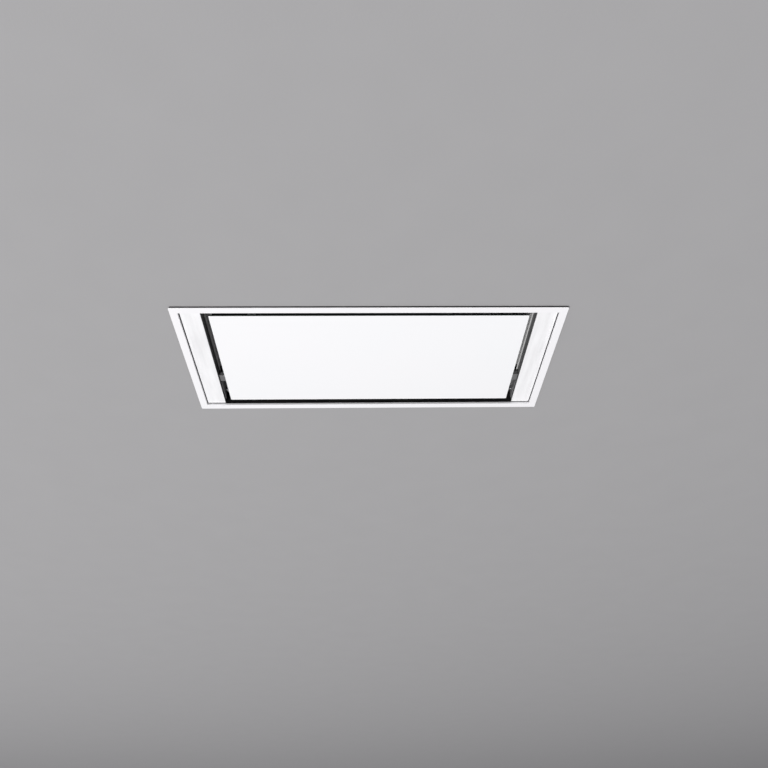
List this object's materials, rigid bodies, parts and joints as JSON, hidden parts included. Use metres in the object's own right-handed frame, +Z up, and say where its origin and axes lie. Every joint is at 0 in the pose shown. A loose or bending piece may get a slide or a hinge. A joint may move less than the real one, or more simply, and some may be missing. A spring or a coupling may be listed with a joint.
{
  "type": "ceiling range hood",
  "caption": "Flush ceiling extractor hood: white frame, hinged glass panel with a suction slot all round, end light bands, baffle filters, blower and round duct collar.",
  "frame": {"origin": "middle of the white frame's underside, which is the lowest face", "axes": "+X along the hood's length towards the duct collar, +Y away from the cook towards the hinge, +Z up into the ceiling"},
  "size_m": [1.2, 0.56, 0.3112],
  "materials": {
    "white_coat": "satin powder coat",
    "white_glass": "back-painted, polished",
    "opal": "opal, satin",
    "black_coat": "matt powder coat",
    "stainless": "brushed",
    "zinc": "zinc plated",
    "galvanised": "galvanised sheet",
    "flap_aluminium": "mill finish",
    "motor_casting": "cast",
    "foam": "closed-cell foam",
    "rubber": "moulded",
    "grey_plastic": "moulded",
    "catch_plastic": "moulded",
    "led_board": "white solder mask"
  },
  "bodies": {
    "hood": {"air_guide_left": "stainless", "air_guide_right": "stainless", "blower_motor": "motor_casting", "blower_mounts": "rubber", "cable_gland": "grey_plastic", "catch_bodies": "catch_plastic", "ceiling_seal": "foam", "chassis_front": "black_coat", "chassis_left": "black_coat", "chassis_rear": "black_coat", "chassis_right": "black_coat", "control_box": "grey_plastic", "control_box_lid": "grey_plastic", "damper_pin": "zinc", "deck_screws": "zinc", "filter_deck": "black_coat", "filter_rail_front": "black_coat", "filter_rail_rear": "black_coat", "hanger_rail_left": "galvanised", "hanger_rail_right": "galvanised", "hinge_bracket_left": "zinc", "hinge_bracket_right": "zinc", "hinge_pins": "zinc", "led_strip_left": "led_board", "led_strip_right": "led_board", "light_box_left": "black_coat", "light_box_right": "black_coat", "light_diffuser_left": "opal", "light_diffuser_right": "opal", "outlet_collar": "galvanised", "outlet_duct": "galvanised", "scroll_bottom_plate": "galvanised", "scroll_top_plate": "galvanised", "scroll_wall": "galvanised", "suction_box_front": "galvanised", "suction_box_left": "galvanised", "suction_box_lid": "galvanised", "suction_box_rear": "galvanised", "suction_box_right": "galvanised", "trim_frame": "white_coat"},
    "centre_panel": {"glass_panel": "white_glass", "panel_tray": "black_coat", "hinge_arm_left": "zinc", "hinge_arm_right": "zinc", "arm_blocks": "zinc", "catch_keepers": "zinc"},
    "impeller": {"impeller": "galvanised"},
    "flap_near": {"damper_flap_near": "flap_aluminium"},
    "flap_far": {"damper_flap_far": "flap_aluminium"},
    "catch_left": {"catch_plunger_left": "zinc"},
    "catch_right": {"catch_plunger_right": "zinc"},
    "filter_left": {"filter_frame_left": "stainless", "filter_baffles_left": "stainless"},
    "latch_left": {"filter_latch_left": "stainless"},
    "filter_centre": {"filter_frame_centre": "stainless", "filter_baffles_centre": "stainless"},
    "latch_centre": {"filter_latch_centre": "stainless"},
    "filter_right": {"filter_frame_right": "stainless", "filter_baffles_right": "stainless"},
    "latch_right": {"filter_latch_right": "stainless"}
  },
  "joints": [
    {"name": "centre_panel_hinge", "type": "hinge", "parent": "hood", "child": "centre_panel", "pos_m": [0, 0.214, 0.038], "axis": [1, 0, 0], "range_deg": [0, 90]},
    {"name": "filter_left_tilt", "type": "hinge", "parent": "hood", "child": "filter_left", "pos_m": [-0.322, 0.101, 0.0604], "axis": [1, 0, 0], "range_deg": [0, 5]},
    {"name": "filter_centre_tilt", "type": "hinge", "parent": "hood", "child": "filter_centre", "pos_m": [0, 0.101, 0.0604], "axis": [1, 0, 0], "range_deg": [0, 5]},
    {"name": "filter_right_tilt", "type": "hinge", "parent": "hood", "child": "filter_right", "pos_m": [0.322, 0.101, 0.0604], "axis": [1, 0, 0], "range_deg": [0, 5]},
    {"name": "latch_left_slide", "type": "slide", "parent": "filter_left", "child": "latch_left", "axis": [0, 1, 0], "range_m": [0, 0.005], "stiffness_N_per_m": 300, "springref_m": -0.003},
    {"name": "latch_centre_slide", "type": "slide", "parent": "filter_centre", "child": "latch_centre", "axis": [0, 1, 0], "range_m": [0, 0.005], "stiffness_N_per_m": 300, "springref_m": -0.003},
    {"name": "latch_right_slide", "type": "slide", "parent": "filter_right", "child": "latch_right", "axis": [0, 1, 0], "range_m": [0, 0.005], "stiffness_N_per_m": 300, "springref_m": -0.003},
    {"name": "catch_left_slide", "type": "slide", "parent": "hood", "child": "catch_left", "axis": [0, -1, 0], "range_m": [0, 0.0036], "stiffness_N_per_m": 800, "springref_m": -0.002},
    {"name": "catch_right_slide", "type": "slide", "parent": "hood", "child": "catch_right", "axis": [0, -1, 0], "range_m": [0, 0.0036], "stiffness_N_per_m": 800, "springref_m": -0.002},
    {"name": "damper_flap_near_hinge", "type": "hinge", "parent": "hood", "child": "flap_near", "pos_m": [0.532, -0.1305, 0.205], "axis": [0, 0, 1], "range_deg": [0, 80], "stiffness_Nm_per_rad": 0.01, "springref_deg": -5.73},
    {"name": "damper_flap_far_hinge", "type": "hinge", "parent": "hood", "child": "flap_far", "pos_m": [0.532, -0.1305, 0.205], "axis": [0, 0, -1], "range_deg": [0, 80], "stiffness_Nm_per_rad": 0.01, "springref_deg": -5.73},
    {"name": "impeller_spin", "type": "hinge", "parent": "hood", "child": "impeller", "pos_m": [0.24, 0.025, 0.205], "axis": [0, 0, 1], "continuous": true}
  ]
}
